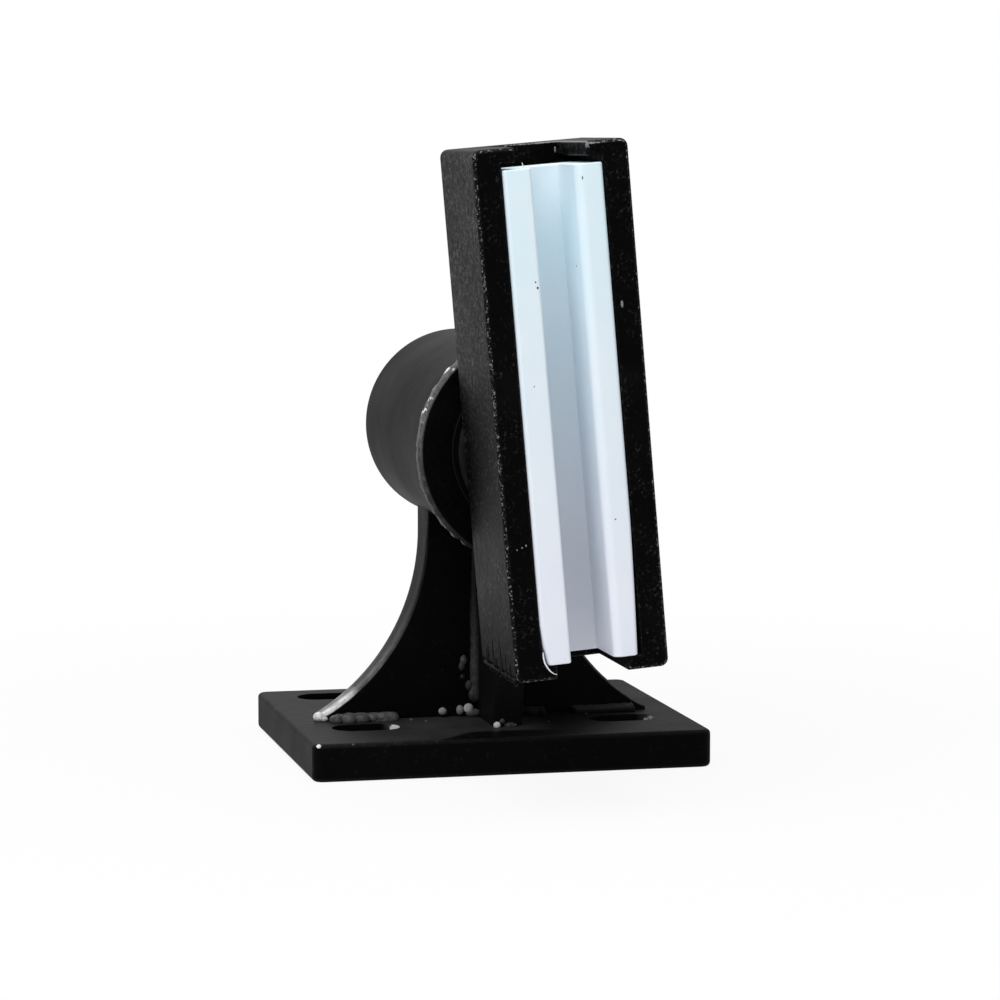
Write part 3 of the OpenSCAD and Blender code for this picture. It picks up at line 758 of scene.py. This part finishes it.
def make_rib_beads():
    bm = start_mesh()
    for x in (RIB_LEFT - 0.6, RIB_RIGHT + 0.6):
        bead(bm, [(x, WEB_FRONT - 0.6, 14), (x, WEB_FRONT - 0.6, 58)], 2.1, 3.4, 0.5)
    layer = bm.verts.layers.float[WEAR_AND_PAINTED_LIGHT]
    # The left bead is painted a little lighter lower down, as painted light on the lit side.
    for vert in bm.verts:
        vert[layer] = 0.05 * min(1, max(0, (45 - vert.co.z / MM) / 20)) if vert.co.x < 0 else 0
    return finish_beads("rib_beads", bm, ["rib_weld"])


def make_saddle_beads():
    bm = start_mesh()
    side = math.degrees(math.asin((NECK - 6) / (BARREL_R + 1)))
    gaps = [math.degrees(math.asin(x / BARREL_R)) for x in (RIB_LEFT - 0.5, RIB_RIGHT + 0.5)]
    runs = [(WEB_FRONT - 0.9, 180 + side, 180 - gaps[0]), (WEB_FRONT - 0.9, 180 - gaps[1], 180 - side),
            (WEB_BACK + 0.9, 180 + side, 180 - side)]
    for y, first, last in runs:
        bead(bm, arc(BARREL_R + 0.6, y, first, last, 24, (0, AXIS_Z)), 2.6, 2.6, 0.7)
    return finish_beads("saddle_beads", bm, ["saddle_weld"])


def make_cover_bead():
    bm = start_mesh()
    bead(bm, arc(BARREL_R + 0.4, BARREL_FRONT + 0.4, 8, 368, 90), 2.6, 2.8, 0.6)
    return finish_beads("cover_bead", bm, ["cover_weld"], ON_AXIS)


def make_spatter():
    """Lumps and balls of weld metal; those at the left toe and before the rib are painted bright as painted
    highlights.
    """
    bm = start_mesh()
    lumps(bm, SPATTER)
    return finish_beads("weld_spatter", bm)


def make_edge_lumps():
    """Low lumps under the paint, on the plate's front edge."""
    bm = start_mesh()
    for _ in range(34):
        at = (DICE.gauss(-3, 5), -BASE_D / 2 + 0.16, min(8.2, max(1.8, DICE.gauss(5.4, 2.2))))
        width = DICE.uniform(0.5, 1.3)
        blob(bm, at, width, (1.0, 0.16 / width, DICE.uniform(0.5, 0.9)))
    return finish_piece("edge_lumps", bm, PLATE_PAINT, "pedestal", weighted=False)


def make_end_ring():
    bm = start_mesh()
    outside, back = BORE_R - SEAT_GAP, BARREL_BACK - SEAT_GAP
    turned_ring(bm, [(PORT_R, RING_FRONT), (outside, RING_FRONT), (outside, back), (PORT_R, back)])
    bmesh.ops.recalc_face_normals(bm, faces=bm.faces)
    soften(bm, corners(bm, choose=lambda middle, run: middle.y > BARREL_BACK - 1), 0.7, 3)
    return finish_piece("end_ring", bm, RIB_PAINT, "pedestal", ["rear_ring"], ON_AXIS)


def make_thrust_disc():
    bm = start_mesh()
    turned_ring(bm, [(DISC_BORE, DISC_FRONT), (DISC_R, DISC_FRONT), (DISC_R, COVER_FACE),
                     (DISC_BORE, COVER_FACE)])
    bmesh.ops.recalc_face_normals(bm, faces=bm.faces)
    soften(bm, corners(bm), 0.35, 2)
    return finish_piece("thrust_disc", bm, WASHER_BLACK, "pedestal", ["thrust_washer"], ON_AXIS)


# ---------------------------------------------------------------- head
def make_head():
    bm = start_mesh()
    quad(bm, HEAD_W, HEAD_H)
    bmesh.ops.rotate(bm, cent=(0, 0, 0), matrix=Matrix.Rotation(math.pi / 2, 3, "X"), verts=bm.verts)
    bmesh.ops.translate(bm, vec=mm(0, HEAD_BACK, HEAD_LIFT), verts=bm.verts)
    for x in (-RECESS, -NOTCH, NOTCH, RECESS):
        cut(bm, mm(x, 0, 0), (1, 0, 0))
    for z in (RECESS_LOW, RECESS_HIGH):
        cut(bm, mm(0, 0, z), (0, 0, 1))
    floor = pull(bm, bm.faces[:], mm(0, RECESS_FLOOR - HEAD_BACK, 0))

    def is_wall(face):
        at = face.calc_center_median() / MM
        return abs(at.x) > RECESS or (abs(at.x) > NOTCH and not RECESS_LOW < at.z < RECESS_HIGH)

    pull(bm, [face for face in floor if is_wall(face)], mm(0, HEAD_FRONT - RECESS_FLOOR, 0))
    tidy(bm)
    low, high = HEAD_LIFT - HEAD_H / 2, HEAD_LIFT + HEAD_H / 2

    def outer(middle, run):
        sides = (abs(middle.x) > HEAD_W / 2 - 0.1) + (min(middle.z - low, high - middle.z) < 0.1)
        return sides + (min(middle.y - HEAD_FRONT, HEAD_BACK - middle.y) < 0.1) == 2

    def rim(middle, run):
        beside = abs(middle.x) > HEAD_W / 2 - 2.1 or min(middle.z - low, high - middle.z) < 2.1
        return beside and min(middle.y - HEAD_FRONT, HEAD_BACK - middle.y) < 0.1

    soften(bm, corners(bm, choose=lambda middle, run: outer(middle, run) and abs(run.y) > 5), 2.0, 5)
    soften(bm, corners(bm, choose=rim), 1.1, 4)
    soften(bm, corners(bm), 0.6, 3, 0.8)
    # The upper notch's right cheek edges are painted brightest, as painted glints
    layer = bm.verts.layers.float[WEAR_AND_PAINTED_LIGHT]
    for vert in bm.verts:
        if abs(vert.co.x / MM - NOTCH) < 0.7 and vert.co.z > (RECESS_HIGH + 0.7) * MM and vert[layer] > 0:
            vert[layer] = 1.7
    return finish_piece("guide_head", bm, HEAD_PAINT, "head", ["head_block"], TURN)


def make_drips():
    """Runs of paint at the lower end of the left side, a sagging roll with drops, and lumps on the front."""
    bm = start_mesh()
    side, low = -HEAD_W / 2, HEAD_LIFT - HEAD_H / 2
    for _ in range(16):
        y = DICE.uniform(HEAD_FRONT + 3, HEAD_BACK - 3)
        length = DICE.uniform(1.6, 4.4)
        wide = DICE.uniform(0.5, 0.9)
        blob(bm, (side + 0.1, y, low + 0.6 + length), wide, (0.3 / wide, 1.2, length / wide))
    steps, length = 40, HEAD_BACK - HEAD_FRONT - 4
    places, sag = [], []
    for step in range(steps + 1):
        thick = 0.6 + 0.25 * noise.noise(Vector((0, step * 0.19, 3.1))) + 0.25 * step / steps
        places.append((side + 0.75, HEAD_FRONT + 2 + length * step / steps, low + 0.75 - 0.5 * thick))
        sag.append(thick)
    rod_along(bm, places, sag, 10)
    for back, drop, wide in DROPS:
        at = (side + 0.72, HEAD_FRONT + 3 + back * (length - 2), low + 0.5 - 0.4 * drop)
        blob(bm, at, wide, (0.7 / wide, 1.0, (0.9 + 0.5 * drop) / wide))
    # The bright paint lumps are painted highlights.
    lumps(bm, PAINT_LUMPS)
    return finish_piece("paint_runs", bm, HEAD_PAINT, "head", place=TURN, weighted=False)


def make_liner():
    bm = start_mesh()
    depth = LINER_BACK - LINER_FRONT
    quad(bm, 2 * LINER, depth)
    bmesh.ops.translate(bm, vec=mm(0, LINER_FRONT + depth / 2, RECESS_LOW), verts=bm.verts)
    for x in (-RAIL, RAIL):
        cut(bm, mm(x, 0, 0), (1, 0, 0))
    cut(bm, mm(0, RAIL_FLOOR, 0), (0, 1, 0))
    mouth = [face for face in bm.faces
             if abs(face.calc_center_median().x) < 1 * MM and face.calc_center_median().y < RAIL_FLOOR * MM]
    bmesh.ops.delete(bm, geom=mouth, context="FACES")
    pull(bm, bm.faces[:], mm(0, 0, LINER_H))
    tidy(bm)

    def outer(middle, run):
        return abs(run.z) > 50 and abs(middle.x) > LINER - 0.1

    soften(bm, corners(bm, choose=outer), 1.0, 4)
    # The slot's left lip is crisp, and its right lip is rubbed round by the rail
    for lip, width, segments in ((-RAIL, 0.8, 4), (RAIL, 2.4, 8)):
        soften(bm, corners(bm, choose=lambda middle, run: abs(run.z) > 50 and middle.y < LINER_FRONT + 0.1
                           and abs(middle.x - lip) < 0.1), width, segments)
    soften(bm, corners(bm, choose=lambda middle, run: abs(run.z) < 1), 0.35, 2)
    for step in range(1, 24):
        cut(bm, mm(0, 0, RECESS_LOW + LINER_H * step / 24), (0, 0, 1))
    # The right lip has worn thinner towards its lower end, and the saw took the lower left corner
    for vert in bm.verts:
        below = max(0, -12 - vert.co.z / MM) / 36
        if vert.co.x > (LINER - 1.2) * MM:
            vert.co.x -= 0.9 * below ** 1.5 * MM
        elif vert.co.x < (1.2 - LINER) * MM:
            vert.co.x += 1.3 * max(0, below - 0.8) / 0.2 * MM
    # Painted shade darkens the slot, more so lower down
    layer = bm.verts.layers.float[WEAR_AND_PAINTED_LIGHT]
    for vert in bm.verts:
        inside = abs(vert.co.x) < (RAIL + 0.3) * MM and vert.co.y > (LINER_FRONT + 0.4) * MM
        vert[layer] = min(1, max(0, (45 - vert.co.z / MM) / 90)) if inside else 0
    return finish_piece("rail_liner", bm, WHITE, "head", ["liner"], TURN)


def make_burr():
    """A thin curl of plastic left by the saw at the liner's lower corner, and a stub at the top."""
    bm = start_mesh()
    front = LINER_FRONT + 0.1
    curl = [(-12.2, front + 0.3, -44.4), (-12.25, front, -45.8), (-12.05, front, -47.0),
            (-11.5, front, -48.2), (-10.8, front, -49.2), (-10.0, front, -49.9), (-9.2, front, -50.2)]
    rod_along(bm, curl, [0.1, 0.18, 0.2, 0.18, 0.15, 0.1, 0.05], 8)
    stub = [(-7.2, LINER_FRONT + 0.9, 71.6), (-7.15, LINER_FRONT + 0.8, 72.6),
            (-7.3, LINER_FRONT + 0.7, 73.7)]
    rod_along(bm, stub, [0.22, 0.16, 0.07], 8)
    return finish_piece("liner_burr", bm, WHITE, "head", place=TURN, weighted=False)


def make_specks():
    """Grit pressed into the liner's running faces."""
    bm = start_mesh()
    lumps(bm, GRIT)
    return finish_piece("liner_grit", bm, RUBBER, "head", place=TURN, weighted=False)


def make_stem():
    bm = start_mesh()
    core = STEM_R - THREAD_DEPTH
    tip = RECESS_FLOOR + SEAT_GAP
    chain(bm, [(0, tip, 0), (SPIGOT_R - 0.6, tip, 0), (SPIGOT_R, tip + 0.6, 0), (SPIGOT_R, HEAD_BACK, 0),
               (STEM_R, HEAD_BACK, 0), (STEM_R, BARREL_FRONT, 0), (STEM_R, THREAD_START - 1, 0),
               (core, THREAD_START, 0), (core, STEM_END - 1.2, 0), (core - 1.2, STEM_END, 0), (0, STEM_END, 0)])
    bmesh.ops.spin(bm, geom=bm.verts[:] + bm.edges[:], cent=(0, 0, 0), axis=(0, 1, 0), angle=math.tau,
                   steps=72, use_merge=True)
    bmesh.ops.remove_doubles(bm, verts=bm.verts, dist=1e-6)
    steps = 36
    thread = chain(bm, [(core - 0.1, THREAD_START + 0.25, 0), (STEM_R, THREAD_START + 1.1, 0),
                        (STEM_R, THREAD_START + 1.3, 0), (core - 0.1, THREAD_START + 2.15, 0)])
    made = bmesh.ops.contextual_create(bm, geom=thread)["faces"]
    edges = [edge for edge in bm.edges if edge.verts[0] in thread and edge.verts[1] in thread]
    bmesh.ops.spin(bm, geom=thread + edges + made, cent=(0, 0, 0), axis=(0, 1, 0),
                   dvec=mm(0, THREAD_PITCH / steps, 0), angle=math.tau * THREAD_TURNS,
                   steps=THREAD_TURNS * steps)
    # The stem is black in front of the barrel's front end
    for face in bm.faces:
        if face.calc_center_median().y < BARREL_FRONT * MM:
            face.material_index = 1
    stem = finish_piece("stem_rod", bm, ZINC, "head", ["stem"], TURN, smooth=30, weighted=False)
    stem.data.materials.append(WASHER_BLACK)
    return stem


def make_cotter():
    """One wire, doubled through the crown: an eye at one end, two legs bent apart at the other."""
    bm = start_mesh()
    wire = 0.88
    far, eye = 15.6, -17.2
    upper = [(far + 1.6, PIN_Y - 6.6, wire), (far + 1.5, PIN_Y - 3.2, wire), (far + 1.1, PIN_Y - 1.5, wire),
             (far, PIN_Y - 0.3, wire), (far - 2, PIN_Y, wire), (0, PIN_Y, wire), (-13.8, PIN_Y, wire)]
    loop = [(eye + 2.9 * math.cos(t), PIN_Y, 2.9 * math.sin(t))
            for t in [math.radians(40 + 28 * step) for step in range(11)]]
    lower = [(-13.8, PIN_Y, -wire), (0, PIN_Y, -wire), (far - 4, PIN_Y, -wire),
             (far - 1.2, PIN_Y + 0.4, -wire), (far + 0.4, PIN_Y + 1.6, -wire),
             (far + 0.9, PIN_Y + 3.4, -wire), (far + 1.0, PIN_Y + 4.8, -wire)]
    path = upper + loop + lower
    rod_along(bm, path, [wire] * len(path), 12)
    place = TURN @ Matrix.Rotation(PIN_TURN, 4, "Y")
    return finish_piece("cotter", bm, ZINC, "head", ["split_pin"], place, smooth=60, weighted=False)


def make_rounded_copy(name, node, material, body, width):
    """The solid itself with its sharp edges broken."""
    bm = start_mesh()
    bm.from_mesh(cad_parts[node].data)
    tidy(bm)
    soften(bm, corners(bm, 35), width, 2)
    return finish_piece(name, bm, material, body, [node])


make_foot_plate()
make_web()
make_rib()
make_barrel()
make_cover()
make_foot_beads()
make_rib_beads()
make_saddle_beads()
make_cover_bead()
make_spatter()
make_edge_lumps()
make_end_ring()
make_thrust_disc()
make_head()
make_drips()
make_liner()
make_burr()
make_specks()
make_stem()
make_cotter()
make_rounded_copy("crown_nut", "castle_nut", ZINC, "head", 0.3)
make_rounded_copy("back_washer", "rear_washer", ZINC, "head", 0.35)
make_rounded_copy("soft_ring", "rubber_ring", RUBBER, "head", 0.4)

# Solids that stay as they are, out of sight
for node, material in (("front_bush", NYLON), ("rear_bush", NYLON), ("liner_pad", RUBBER),
                       ("stem_weld", WASHER_BLACK)):
    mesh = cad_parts[node].data
    mesh.materials.clear()
    mesh.materials.append(material)


# ---------------------------------------------------------------- stage, light and camera
def seen_share(tree):
    """1 for rays from the camera, from gloss and through glass, else 0."""
    path = tree.nodes.new("ShaderNodeLightPath").outputs
    straight = sums(tree, "MAXIMUM", path["Is Camera Ray"], path["Is Glossy Ray"])
    return sums(tree, "MAXIMUM", straight, path["Is Transmission Ray"])


def make_floor():
    bm = bmesh.new()
    bmesh.ops.create_grid(bm, x_segments=1, y_segments=1, size=6)
    mesh = bpy.data.meshes.new("floor")
    bm.to_mesh(mesh)
    bm.free()
    floor = bpy.data.objects.new("floor", mesh)
    bpy.context.scene.collection.objects.link(floor)
    material, tree, shader, where = new_material("floor_white")
    shader.inputs["Base Color"].default_value = (0.72, 0.72, 0.72, 1)
    shader.inputs["Roughness"].default_value = 0.9
    shader.inputs["Specular IOR Level"].default_value = 0.0
    glow = add(tree, "Emission", Color=(1, 1, 1, 1), Strength=1.0)
    away = add(tree, "VectorMath", {"operation": "LENGTH"})
    feed(tree, away.inputs[0], where)
    share = span(tree, away.outputs["Value"], 0.04, 0.36, 0.9, 1.0)
    mix = add(tree, "MixShader")
    feed(tree, mix.inputs[0], sums(tree, "MULTIPLY", share, seen_share(tree)))
    feed(tree, mix.inputs[1], shader.outputs[0])
    feed(tree, mix.inputs[2], glow.outputs[0])
    feed(tree, tree.nodes["Material Output"].inputs["Surface"], mix.outputs[0])
    mesh.materials.append(material)


def make_world():
    world = bpy.data.worlds.new("studio")
    bpy.context.scene.world = world
    world.use_nodes = True
    tree = world.node_tree
    back = tree.nodes["Background"]
    back.inputs["Color"].default_value = (1, 1, 1, 1)
    feed(tree, back.inputs["Strength"], span(tree, seen_share(tree), 0.0, 1.0, 0.34, 1.0))


def make_lamp(name, at, aim, size, power):
    lamp = bpy.data.lights.new(name, "AREA")
    lamp.shape = "SQUARE"
    lamp.size = size
    lamp.energy = power
    holder = bpy.data.objects.new(name, lamp)
    holder.location = at
    holder.rotation_euler = (Vector(aim) - Vector(at)).to_track_quat("-Z", "Y").to_euler()
    bpy.context.scene.collection.objects.link(holder)


def make_camera():
    camera = bpy.data.cameras.new("camera")
    camera.lens, camera.sensor_width = CAMERA_LENS, CAMERA_SENSOR
    camera.clip_start = 0.01
    holder = bpy.data.objects.new("camera", camera)
    holder.location = CAMERA_AT
    holder.rotation_euler = Vector(CAMERA_AIM).to_track_quat("-Z", "Y").to_euler()
    bpy.context.scene.collection.objects.link(holder)
    bpy.context.scene.camera = holder


make_floor()
make_world()
make_lamp("key", (-0.7, -0.75, 0.8), (0, -0.05, 0.08), 0.7, 5.8)
make_lamp("top", (-0.1, -0.25, 1.0), (0, -0.06, 0.08), 0.7, 8)
make_camera()
bpy.context.scene.view_settings.view_transform = "Standard"
